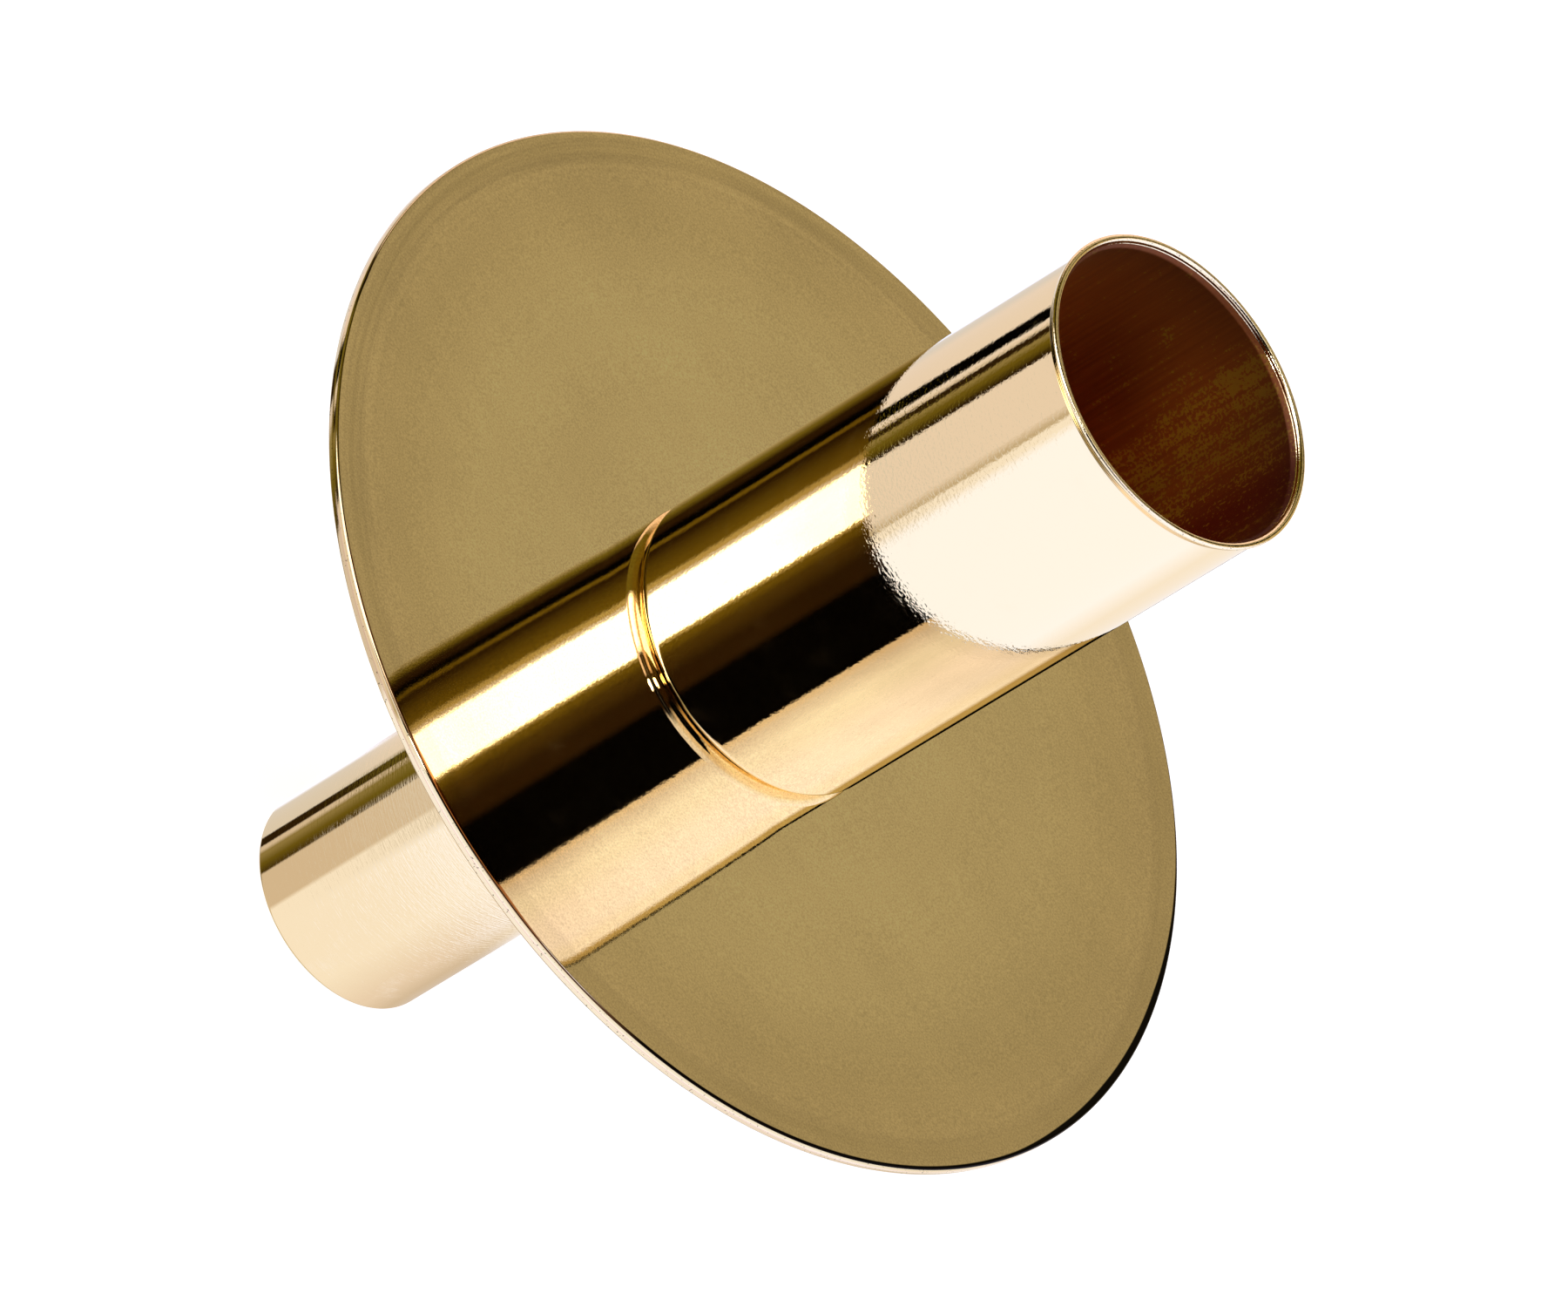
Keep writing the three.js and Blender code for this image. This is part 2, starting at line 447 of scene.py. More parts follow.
one_sided = add(sheet, "ShaderNodeMixShader", {}, sides)
add(sheet, "ShaderNodeOutputMaterial", {}, {"Surface": one_sided.outputs[0]})
floor_mesh.materials.append(paper)
print(f"floor: {FLOOR_RADIUS} m round the axis, at {spigot_low.z:.1f} mm")

# %% [markdown]
# Every piece is finished the same way. Points that coincide are merged, faces are turned
# outwards, and edges that stay sharp are marked by their angle. A Weighted Normal modifier
# lets the large flat faces keep their true direction right up to the bends, because a mirror
# would show the least error there.

# %% Finishing a mesh
SHARP = radians(32)


def finish_mesh(bm, name, materials):
    """Closes, orients and shades a bmesh and puts it in the scene as one object."""
    bmesh.ops.remove_doubles(bm, verts=bm.verts, dist=0.0005 * MM)
    bmesh.ops.recalc_face_normals(bm, faces=bm.faces)
    for face in bm.faces:
        face.smooth = True
    for edge in bm.edges:
        edge.smooth = len(edge.link_faces) == 2 and edge.calc_face_angle() < SHARP
    open_edges = sum(len(edge.link_faces) != 2 for edge in bm.edges)
    mesh = bpy.data.meshes.new(name)
    bm.to_mesh(mesh)
    volume = bm.calc_volume(signed=True) / MM**3
    bm.free()
    for material in materials:
        mesh.materials.append(material)
    piece = bpy.data.objects.new(name, mesh)
    bpy.context.scene.collection.objects.link(piece)
    normals = piece.modifiers.new("true flats", "WEIGHTED_NORMAL")
    normals.mode = "FACE_AREA"
    normals.keep_sharp = True
    print(f"{name}: {len(mesh.polygons)} faces, {open_edges} open edges, {volume:.1f} mm3")
    return piece


# %% [markdown]
# Every round piece was turned or drawn, so each is modelled as a maker would draw it: half
# a section, spun about the axis. The section starts as its sharp corners. Each corner that
# is rounded on the real piece gets a vertex bevel, whose profile of 0.5 is a circle's arc,
# and the spin then makes the surface.

# %% Section and spin
SIDES = 256


def section(corners):
    """A bmesh with the half section of a round piece.

    A corner is (radius, height, rounding, steps of that rounding), in millimetres. A section
    that starts and ends on the axis stays open there, and any other one is closed.
    """
    bm = bmesh.new()
    points = [bm.verts.new((corner[0] * MM, 0, corner[1] * MM)) for corner in corners]
    solid_core = corners[0][0] == 0 and corners[-1][0] == 0
    following = points[1:] if solid_core else points[1:] + points[:1]
    for one, other in zip(points, following):
        bm.edges.new((one, other))
    for point, corner in zip(points, corners):
        if len(corner) > 2:
            bmesh.ops.bevel(
                bm,
                geom=[point],
                offset=corner[2] * MM,
                offset_type="OFFSET",
                segments=corner[3],
                profile=0.5,
                affect="VERTICES",
                clamp_overlap=False,
                material=-1,
            )
    return bm


def spun(corners, sides=SIDES):
    """A bmesh with the section spun once round the Z axis."""
    bm = section(corners)
    bmesh.ops.spin(
        bm,
        geom=bm.verts[:] + bm.edges[:],
        cent=(0, 0, 0),
        axis=(0, 0, 1),
        angle=2 * pi,
        steps=sides,
        use_merge=True,
    )
    return bm


# %% [markdown]
# Gold-coloured plate over polished steel. The steel is buffed to a mirror and plated with a
# thin bright layer, whose tint is a pale, slightly pink gold. What the eye sees is a mirror
# that is not quite perfect: fine buffing marks run round the tubes, and the plating leaves
# a faint orange peel, so that the edges of mirrored cards look feathered. The marks are
# about a tenth of a millimetre apart and the peel's dimples about a quarter, deeper on the
# cup than on the spigot. Here and there a smear of polish dulls the mirror, which warms the
# darkest reflections a little.

# %% Polished gold plate on the tubes
GOLD = linear("FBE7BF")
PEEL_SIZE = 0.26
CUP_PEEL_DEPTH = 0.0031
SPIGOT_PEEL_DEPTH = 0.0006
MARK_WIDTH = 0.12
MARK_LENGTH = 2.2
MARK_DEPTH = 0.0007
SMEAR_SIZE = 3.0
MIRROR = 0.015  # roughness between the marks
BUFFED = 0.04  # roughness on the marks
SMEARED = 0.06  # roughness that a smear adds
SMEAR_ENDS = {1: 0.56, 2: 0.72}


def new_material(name):
    """A material with an empty node tree and the tree itself."""
    material = bpy.data.materials.new(name)
    material.use_nodes = True
    material.node_tree.nodes.clear()
    return material, material.node_tree


def surface(material, colour, roughness, height, depth, metallic=1.0, normal=None):
    """Gives a material its surface, raised by a pattern to a depth in millimetres."""
    tree = material.node_tree
    relief = {"Strength": 1.0, "Distance": depth * MM, "Height": height}
    if normal is not None:
        relief["Normal"] = normal
    relief = add(tree, "ShaderNodeBump", {}, relief).outputs[0]
    look = {"Base Color": colour, "Metallic": metallic, "Roughness": roughness, "Normal": relief}
    shader = add(tree, "ShaderNodeBsdfPrincipled", {}, look)
    add(tree, "ShaderNodeOutputMaterial", {}, {"Surface": shader.outputs[0]})
    print(f"{material.name}: {len(tree.nodes)} nodes")


def tube_plate(name, peel_depth):
    """Mirror plate with buffing marks that run round the Z axis."""
    material, tree = new_material(name)
    spot = add(tree, "ShaderNodeTexCoord").outputs["Object"]
    mark_size = (MARK_LENGTH, MARK_LENGTH, MARK_WIDTH)
    stretch = {"Vector": spot, "Scale": [1 / (size * MM) for size in mark_size]}
    drawn = add(tree, "ShaderNodeMapping", {}, stretch).outputs[0]
    marks = {"Vector": drawn, "Scale": 1.0, "Detail": 2.0}
    marks = add(tree, "ShaderNodeTexNoise", {}, marks).outputs[0]
    peel = {"Vector": spot, "Scale": 1 / (PEEL_SIZE * MM), "Detail": 1.0}
    peel = add(tree, "ShaderNodeTexNoise", {}, peel).outputs[0]
    dimpled = {"Strength": 1.0, "Distance": peel_depth * MM, "Height": peel}
    dimpled = add(tree, "ShaderNodeBump", {}, dimpled).outputs[0]
    buffed = {0: marks, **NOISE_ENDS, 3: MIRROR, 4: BUFFED}
    buffed = add(tree, "ShaderNodeMapRange", {}, buffed).outputs[0]
    smears = {"Vector": spot, "Scale": 1 / (SMEAR_SIZE * MM), "Detail": 5.0, "Roughness": 0.65}
    smears = add(tree, "ShaderNodeTexNoise", {}, smears).outputs[0]
    wiped = {0: smears, **SMEAR_ENDS, 3: 0.0, 4: SMEARED}
    wiped = add(tree, "ShaderNodeMapRange", {}, wiped).outputs[0]
    roughness = add(tree, "ShaderNodeMath", {"operation": "ADD"}, {0: buffed, 1: wiped}).outputs[0]
    surface(material, GOLD, roughness, marks, MARK_DEPTH, normal=dimpled)
    return material


cup_gold = tube_plate("gold plate, buffed cup", CUP_PEEL_DEPTH)
spigot_gold = tube_plate("gold plate, buffed spigot", SPIGOT_PEEL_DEPTH)

# %% [markdown]
# The disc was buffed on a wheel. It mirrors as sharply as the tubes, but its reflection is
# one even khaki, and there the eye finds what the wheel left: a fine sandy grain all over,
# long faint streaks, wide clouds, and a few rings near the rim. Each is a noise pattern of
# its own size, and together they make the level of the plate's colour.

# %% Wheel marks on the disc
GRAIN_SIZE = 0.15
GRAIN_DEPTH = 0.0006
GRAIN_LEVELS = {3: 0.83, 4: 1.15}
STREAK_LENGTH = 12.0
STREAK_WIDTH = 1.5
STREAK_TURN = radians(38)
STREAK_LEVELS = {3: 0.978, 4: 1.022}
CLOUD_WIDTH = 13.0
CLOUD_LEVELS = {3: 0.955, 4: 1.045}

disc_gold, tree = new_material("gold plate, buffed disc")
spot = add(tree, "ShaderNodeTexCoord").outputs["Object"]
part = add(tree, "ShaderNodeSeparateXYZ", {}, {0: spot}).outputs
in_plane = {0: spot, 1: (1, 1, 0)}
flat = add(tree, "ShaderNodeVectorMath", MULTIPLY, in_plane).outputs[0]
radius = add(tree, "ShaderNodeVectorMath", {"operation": "LENGTH"}, {0: flat}).outputs["Value"]

grain = {"Vector": spot, "Scale": 1 / (GRAIN_SIZE * MM), "Detail": 2.0}
grain = add(tree, "ShaderNodeTexNoise", {}, grain).outputs[0]
pull = (1 / (STREAK_LENGTH * MM), 1 / (STREAK_WIDTH * MM), 0)
wheel_path = {"Vector": flat, "Rotation": (0, 0, STREAK_TURN), "Scale": pull}
wheel_path = add(tree, "ShaderNodeMapping", {}, wheel_path).outputs[0]
streaks = {"Vector": wheel_path, "Scale": 1.0, "Detail": 3.0}
streaks = add(tree, "ShaderNodeTexNoise", {}, streaks).outputs[0]
clouds = {"Vector": flat, "Scale": 1 / (CLOUD_WIDTH * MM), "Detail": 1.0}
clouds = add(tree, "ShaderNodeTexNoise", {}, clouds).outputs[0]

patterns = ((grain, GRAIN_LEVELS), (streaks, STREAK_LEVELS), (clouds, CLOUD_LEVELS))
mark_levels = []
for pattern, ends in patterns:
    made = add(tree, "ShaderNodeMapRange", {}, {0: pattern, **NOISE_ENDS, **ends})
    mark_levels.append(made.outputs[0])
print(f"disc's wheel marks: {len(tree.nodes)} nodes")

# %% [markdown]
# The rings follow the edge: their noise is fine outwards and very coarse along the rim.
# They are strongest close to the rim on the -X side, weaker along the rest of it, and hardly
# there on the face. The +X side is darker as a whole, which is painted shade. All levels are
# multiplied.

# %% Rings near the disc's rim
RING_WIDTH = 0.4
RING_LENGTH = 16.0
RINGS_FROM = 36.3
RINGS_LEFT = {1: -10 * MM, 2: -28 * MM, 3: 0.25, 4: 1.0}
RIM_LEVELS = {3: 0.88, 4: 1.1}
FACE_LEVELS = {3: 0.985, 4: 1.015}
PAINTED_SHADE_SIDE = {1: 8 * MM, 2: 30 * MM, 3: 1.0, 4: 0.95}

outward = {0: radius, 1: 1 / (RING_WIDTH * MM)}
outward = add(tree, "ShaderNodeMath", MULTIPLY, outward).outputs[0]
across = {0: flat, "Scale": 1 / (RING_LENGTH * MM)}
across = add(tree, "ShaderNodeVectorMath", {"operation": "SCALE"}, across).outputs[0]
across = add(tree, "ShaderNodeSeparateXYZ", {}, {0: across}).outputs
ring_at = {"X": across["X"], "Y": across["Y"], "Z": outward}
ring_at = add(tree, "ShaderNodeCombineXYZ", {}, ring_at).outputs[0]
rings = {"Vector": ring_at, "Scale": 1.0, "Detail": 2.0}
rings = add(tree, "ShaderNodeTexNoise", {}, rings).outputs[0]

near_rim = {0: radius, 1: RINGS_FROM * MM, 2: (RINGS_FROM + 1) * MM}
near_rim = add(tree, "ShaderNodeMapRange", {}, near_rim).outputs[0]
leftward = add(tree, "ShaderNodeMapRange", {}, {0: part["X"], **RINGS_LEFT}).outputs[0]
near_rim = {0: near_rim, 1: leftward}
near_rim = add(tree, "ShaderNodeMath", MULTIPLY, near_rim).outputs[0]
rim_level = {0: rings, **NOISE_ENDS, **RIM_LEVELS}
rim_level = add(tree, "ShaderNodeMapRange", {}, rim_level).outputs[0]
face_level = {0: rings, **NOISE_ENDS, **FACE_LEVELS}
face_level = add(tree, "ShaderNodeMapRange", {}, face_level).outputs[0]
ring_level = add(tree, "ShaderNodeMix", {}, {0: near_rim, 2: face_level, 3: rim_level}).outputs[0]
# painted shade: the disc's +X side is darkened as a whole
painted_side_shade = add(tree, "ShaderNodeMapRange", {}, {0: part["X"], **PAINTED_SHADE_SIDE}).outputs[0]

level = mark_levels[0]
for factor in (mark_levels[1], ring_level, mark_levels[2], painted_side_shade):
    level = {0: level, 1: factor}
    level = add(tree, "ShaderNodeMath", MULTIPLY, level).outputs[0]
print(f"with its rings: {len(tree.nodes)} nodes")

# %% [markdown]
# Towards the rim the plate is a little darker and redder.
# A ramp over the distance from the axis holds that tint. It multiplies the gold, and the
# wheel marks then scale it.

# %% Darker towards the disc's rim
rim_darkening = [
    (0, "FFFFFF"),
    (27, "FFFFFC"),
    (33.5, "F3F1EC"),
    (37.4, "F3F0EC"),
    (37.9, "EAE7E3"),
    (38.7, "EAE7E1"),
    (39.3, "EEEBE6"),
]

reach = add(tree, "ShaderNodeMapRange", {}, {0: radius, 1: 0.0, 2: disc_radius * MM}).outputs[0]
rim_tint = add(tree, "ShaderNodeValToRGB", {}, {0: reach})
set_stops(rim_tint, [(r / disc_radius, linear(code)) for r, code in rim_darkening])
tinted = {0: 1.0, 6: GOLD, 7: rim_tint.outputs[0]}
tint_gold = {**MIX_COLOURS, "blend_type": "MULTIPLY"}
tinted = add(tree, "ShaderNodeMix", tint_gold, tinted).outputs[2]
tinted = {0: tinted, "Scale": level}
tinted = add(tree, "ShaderNodeVectorMath", {"operation": "SCALE"}, tinted).outputs[0]
print(f"with its wear: {len(tree.nodes)} nodes")

# %% [markdown]
# The disc was blanked with a punch, which rolls the sheet's edge over on one side. A dark
# line lies along part of the rim, and it is a painted dark reflection in the plate's colour.
# Its width follows the angle round the disc, so a ramp over that angle holds it: red is the
# line's outer edge and green its inner edge, in millimetres in from the rim, and blue says
# how brown the painted line is. Azimuths are those of the studio.

# %% Painted dark reflection along the disc's rim
EDGE_REFLECTION_BLACK = linear("0A0503")
EDGE_REFLECTION_BROWN = linear("B0703C")
EDGE_REFLECTION_SOFT = 0.035
EDGE_REFLECTION_WIDTH = 0.08  # a line narrower than this fades out

painted_edge_line = [
    (-180, 0.0, 0.0, 0.0),
    (-72, 0.0, 0.0, 0.1),
    (-65, 0.05, 0.2, 0.1),
    (-58, 0.0, 0.0, 0.1),
    (-40, 0.06, 0.06, 0.4),
    (-30, 0.07, 0.2, 0.6),
    (-12, 0.07, 0.26, 0.3),
    (-4, 0.03, 0.42, 1.0),
    (8, 0.02, 0.34, 1.0),
    (14, 0.0, 0.1, 0.8),
    (20, 0.0, 0.1, 0.3),
    (28, 0.0, 0.24, 0.0),
    (60, 0.0, 0.26, 0.0),
    (82, 0.0, 0.32, 0.0),
    (90, 0.0, 0.52, 0.0),
    (100, 0.0, 0.64, 0.0),
    (116, 0.0, 0.62, 0.0),
    (126, 0.0, 0.4, 0.0),
    (134, 0.0, 0.26, 0.1),
    (144, 0.0, 0.16, 0.4),
    (156, 0.0, 0.1, 0.6),
    (168, 0.0, 0.0, 0.6),
]

toward = add(tree, "ShaderNodeMath", MULTIPLY, {0: part["Y"], 1: -1.0}).outputs[0]
turn = add(tree, "ShaderNodeMath", {"operation": "ARCTAN2"}, {0: part["X"], 1: toward}).outputs[0]
turn = add(tree, "ShaderNodeMapRange", {}, {0: turn, 1: -pi, 2: pi}).outputs[0]
line = add(tree, "ShaderNodeValToRGB", {}, {0: turn})
set_stops(line, [((a + 180) / 360, (outer, inner, warm, 1)) for a, outer, inner, warm in painted_edge_line])
line = add(tree, "ShaderNodeSeparateColor", {}, {0: line.outputs[0]}).outputs
painted_edge_colour = {0: line["Blue"], 6: EDGE_REFLECTION_BLACK, 7: EDGE_REFLECTION_BROWN}
painted_edge_colour = add(tree, "ShaderNodeMix", MIX_COLOURS, painted_edge_colour).outputs[2]
inward = {0: radius, 1: -1 / MM, 2: disc_radius}
inward = add(tree, "ShaderNodeMath", {"operation": "MULTIPLY_ADD"}, inward).outputs[0]
sides = []
for near, far in ((inward, line["Red"]), (line["Green"], inward)):
    past = add(tree, "ShaderNodeMath", {"operation": "SUBTRACT"}, {0: near, 1: far}).outputs[0]
    past = {0: past, 1: -EDGE_REFLECTION_SOFT, 2: EDGE_REFLECTION_SOFT}
    sides.append(add(tree, "ShaderNodeMapRange", {}, past).outputs[0])
in_painted_line = {0: sides[0], 1: sides[1]}
in_painted_line = add(tree, "ShaderNodeMath", MULTIPLY, in_painted_line).outputs[0]
wide = {0: line["Green"], 1: line["Red"]}
wide = add(tree, "ShaderNodeMath", {"operation": "SUBTRACT"}, wide).outputs[0]
there = add(tree, "ShaderNodeMapRange", {}, {0: wide, 1: 0.0, 2: EDGE_REFLECTION_WIDTH}).outputs[0]
in_painted_line = add(tree, "ShaderNodeMath", MULTIPLY, {0: in_painted_line, 1: there}).outputs[0]
# painted reflection: the dark line along the rim is laid into the plate's colour
base = {0: in_painted_line, 6: tinted, 7: painted_edge_colour}
base = add(tree, "ShaderNodeMix", MIX_COLOURS, base).outputs[2]
surface(disc_gold, base, roughness=0.03, height=grain, depth=GRAIN_DEPTH)

# %% [markdown]
# Where the sheet was cut, at the disc's edge, the plate lies over the blank's sheared wall.
# It shines, with small dark pits, and where the shear ended and the sheet broke there is a
# thin rosy line half-way up.

# %% Gold plate on the disc's cut wall
PIT_SIZE = 0.2
PIT_DEPTH = 0.0008
PIT_LEVELS = {1: 0.28, 2: 0.36, 3: 0.15, 4: 1.0}
WALL_HEIGHT = 1.0
wall_colours = [
    (0.0, "FDEFD2"),
    (0.45, "FDEFD2"),
    (0.5, "F2C6AE"),
    (0.56, "FBE7BF"),
    (0.75, "EED7A6"),
    (1.0, "EED7A6"),
]

wall_gold, tree = new_material("gold plate, sheared wall")
spot = add(tree, "ShaderNodeTexCoord").outputs["Object"]
height = add(tree, "ShaderNodeSeparateXYZ", {}, {0: spot}).outputs["Z"]
up_wall = {0: height, 1: (disc_high.z - WALL_HEIGHT) * MM, 2: disc_high.z * MM}
up_wall = add(tree, "ShaderNodeMapRange", {}, up_wall).outputs[0]
wall = add(tree, "ShaderNodeValToRGB", {}, {0: up_wall})
set_stops(wall, [(t, linear(code)) for t, code in wall_colours])
torn = {"Vector": spot, "Scale": 1 / (PIT_SIZE * MM), "Detail": 3.0}
torn = add(tree, "ShaderNodeTexNoise", {}, torn).outputs[0]
pits = add(tree, "ShaderNodeMapRange", {}, {0: torn, **PIT_LEVELS}).outputs[0]
tinted = {0: wall.outputs[0], "Scale": pits}
tinted = add(tree, "ShaderNodeVectorMath", {"operation": "SCALE"}, tinted).outputs[0]
surface(wall_gold, tinted, roughness=0.06, height=torn, depth=PIT_DEPTH)

# %% [markdown]
# The cup's rim was trimmed and only lightly dressed, so its plate is bright but covered in
# tiny grains, each of which flashes white or goes dark, as they do on broken sugar.

# %% Gold plate on the cup's trimmed rim
SPARK_SIZE = 0.16
SPARK_DEPTH = 0.012
SPARK_LEVELS = {1: 0.3, 2: 0.4, 3: 0.45, 4: 1.0}

rim_gold, tree = new_material("gold plate, trimmed rim")
spot = add(tree, "ShaderNodeTexCoord").outputs["Object"]
sparks = {"Vector": spot, "Scale": 1 / (SPARK_SIZE * MM), "Detail": 2.0}
sparks = add(tree, "ShaderNodeTexNoise", {}, sparks).outputs[0]
pits = add(tree, "ShaderNodeMapRange", {}, {0: sparks, **SPARK_LEVELS}).outputs[0]
tinted = {0: GOLD[:3], "Scale": pits}
tinted = add(tree, "ShaderNodeVectorMath", {"operation": "SCALE"}, tinted).outputs[0]
surface(rim_gold, tinted, roughness=0.1, height=sparks, depth=SPARK_DEPTH)

# %% [markdown]
# Inside the tubes the bath leaves little plate and no wheel fits, so the steel keeps a matt
# brown film of drawing grease and oxide. Three noise patterns break it up: fine scratches
# from the punch, which run along the tube, a coarse mottle and small specks.

# %% Patterns inside the drawn tubes
SCRATCH_WIDTH = 0.25
SCRATCH_LENGTH = 8.0
MOTTLE_SIZE = 2.5
SPECK_SIZE = 0.22

bore_brown, tree = new_material("brown film, drawn bore")
spot = add(tree, "ShaderNodeTexCoord").outputs["Object"]
part = add(tree, "ShaderNodeSeparateXYZ", {}, {0: spot}).outputs
scratch_size = (SCRATCH_WIDTH, SCRATCH_WIDTH, SCRATCH_LENGTH)
stretch = {"Vector": spot, "Scale": [1 / (size * MM) for size in scratch_size]}
drawn = add(tree, "ShaderNodeMapping", {}, stretch).outputs[0]
scratches = {"Vector": drawn, "Scale": 1.0, "Detail": 3.0}
scratches = add(tree, "ShaderNodeTexNoise", {}, scratches).outputs[0]
mottle = {"Vector": spot, "Scale": 1 / (MOTTLE_SIZE * MM), "Detail": 3.0}
mottle = add(tree, "ShaderNodeTexNoise", {}, mottle).outputs[0]
specks = {"Vector": spot, "Scale": 1 / (SPECK_SIZE * MM), "Detail": 2.0}
specks = add(tree, "ShaderNodeTexNoise", {}, specks).outputs[0]
print(f"film's patterns: {len(tree.nodes)} nodes")

# %% [markdown]
# On the right half of the cup, candles have thinned the film, though not down at the floor,
# and there the bore's sheen is painted in as well. Angles here are counted from the far side
# towards +X. The thinning and the painted sheen set in sharply just past the far side and are
# weaker further round. One place below the mouth has the most of both.

# %% Where candles thin the film, with painted sheen
RUB_AND_SHEEN_SETS_IN = {1: radians(0), 2: radians(7)}
RUB_AND_SHEEN_WEAKENS = {1: radians(15), 2: radians(50), 3: 1.0, 4: 0.45}
OFF_FLOOR = {1: 4 * MM, 2: 20 * MM}
SHEEN_PATCH_AT = Vector((2.0, 10.9, 39.5))
SHEEN_PATCH_REACH = 5.0
SHEEN_PATCH_CORE = 0.3 * SHEEN_PATCH_REACH
SHEEN_PATCH_SHARE = 0.4

around = {0: part["X"], 1: part["Y"]}
around = add(tree, "ShaderNodeMath", {"operation": "ARCTAN2"}, around).outputs[0]
rub_and_sheen = add(tree, "ShaderNodeMapRange", {}, {0: around, **RUB_AND_SHEEN_SETS_IN}).outputs[0]
weaker = add(tree, "ShaderNodeMapRange", {}, {0: around, **RUB_AND_SHEEN_WEAKENS}).outputs[0]
off_floor = add(tree, "ShaderNodeMapRange", {}, {0: part["Z"], **OFF_FLOOR}).outputs[0]
for factor in (weaker, off_floor):
    rub_and_sheen = {0: rub_and_sheen, 1: factor}
    rub_and_sheen = add(tree, "ShaderNodeMath", MULTIPLY, rub_and_sheen).outputs[0]
# painted reflection: a spot of sheen below the mouth, added to the thinned film
apart = {0: spot, 1: SHEEN_PATCH_AT * MM}
apart = add(tree, "ShaderNodeVectorMath", {"operation": "DISTANCE"}, apart).outputs["Value"]
sheen_patch = {0: apart, 1: SHEEN_PATCH_CORE * MM, 2: SHEEN_PATCH_REACH * MM, 3: SHEEN_PATCH_SHARE, 4: 0.0}
sheen_patch = add(tree, "ShaderNodeMapRange", {}, sheen_patch).outputs[0]
rub_and_sheen = add(tree, "ShaderNodeMath", {"operation": "ADD"}, {0: rub_and_sheen, 1: sheen_patch}).outputs[0]
print(f"with the rubbed side: {len(tree.nodes)} nodes")

# %% [markdown]
# Where the rubbing, the painted sheen and the three patterns add up to enough, olive-gold
# plate shows through, which is partly bare plate and partly a painted reflection.
# The film itself goes from one brown to a deeper one along the scratches, and it is thick
# and nearly red further round, where the rubbing is weaker. Its light falls off towards the
# mouth, past the far side and down at the floor, and this is painted light and shade.

# %% Brown film inside the drawn tubes
FILM_BROWN = linear("C0661A")
FILM_DEEP = linear("9C4A12")
FILM_RED = linear("86290A")
BARE_GOLD_AND_SHEEN = linear("C4881E")
SPECK_SHARE = 1.5
MOTTLE_SHARE = 0.8
RUB_AND_SHEEN_SHARE = 0.32
SHOWS_THROUGH = {1: 1.93, 2: 2.08}
SCRATCHED = {1: 0.35, 2: 0.65, 3: 0.35, 4: 0.75}
RED_SIDE = {1: radians(30), 2: radians(52)}
DARK_MOUTH = {1: 28 * MM, 2: 43 * MM, 3: 1.75, 4: 0.38}
FAR_SIDE_SHADE = {1: radians(10), 2: radians(25), 3: 1.0, 4: 0.7}
BORE_FLOOR_SHADE = {3: 0.55, 4: 1.0}
FILM_DEPTH = 0.006

through = scratches
for pattern, share in ((specks, SPECK_SHARE), (mottle, MOTTLE_SHARE), (rub_and_sheen, RUB_AND_SHEEN_SHARE)):
    through = {0: pattern, 1: share, 2: through}
    through = add(tree, "ShaderNodeMath", {"operation": "MULTIPLY_ADD"}, through).outputs[0]
through = add(tree, "ShaderNodeMapRange", {}, {0: through, **SHOWS_THROUGH}).outputs[0]
thick = add(tree, "ShaderNodeMapRange", {}, {0: scratches, **SCRATCHED}).outputs[0]
red_side = add(tree, "ShaderNodeMapRange", {}, {0: around, **RED_SIDE}).outputs[0]
red_side = {0: red_side, 1: off_floor}
red_side = add(tree, "ShaderNodeMath", MULTIPLY, red_side).outputs[0]
# the olive-gold that shows through is partly bare plate and partly painted reflection
film = FILM_DEEP
for share, colour in ((thick, FILM_BROWN), (red_side, FILM_RED), (through, BARE_GOLD_AND_SHEEN)):
    film = {0: share, 6: film, 7: colour}
    film = add(tree, "ShaderNodeMix", MIX_COLOURS, film).outputs[2]

# painted light and shade: the film is lighter deep in the bore and darker at the mouth, past the
# far side and near the floor
film_light = add(tree, "ShaderNodeMapRange", {}, {0: part["Z"], **DARK_MOUTH}).outputs[0]
far_side_shade = add(tree, "ShaderNodeMapRange", {}, {0: around, **FAR_SIDE_SHADE}).outputs[0]
bore_floor_shade = add(tree, "ShaderNodeMapRange", {}, {0: off_floor, **BORE_FLOOR_SHADE}).outputs[0]
for factor in (far_side_shade, bore_floor_shade):
    film_light = {0: film_light, 1: factor}
    film_light = add(tree, "ShaderNodeMath", MULTIPLY, film_light).outputs[0]
film = {0: film, "Scale": film_light}
film = add(tree, "ShaderNodeVectorMath", {"operation": "SCALE"}, film).outputs[0]
surface(bore_brown, film, roughness=0.45, height=specks, depth=FILM_DEPTH, metallic=0.6)

# %% [markdown]
# The screw, the washer and the nut are bright zinc plated steel, as bought: a cool, even
# silver with a slightly satin surface and faint clouds from the passivation.

# %% Bright zinc plate
ZINC_DARK = linear("B4B8BE")
ZINC_LIGHT = linear("DCDDDA")
CLOUD_SIZE = 1.2
GRIT_SIZE = 0.09
GRIT_DEPTH = 0.0012
SATIN = {3: 0.2, 4: 0.34}

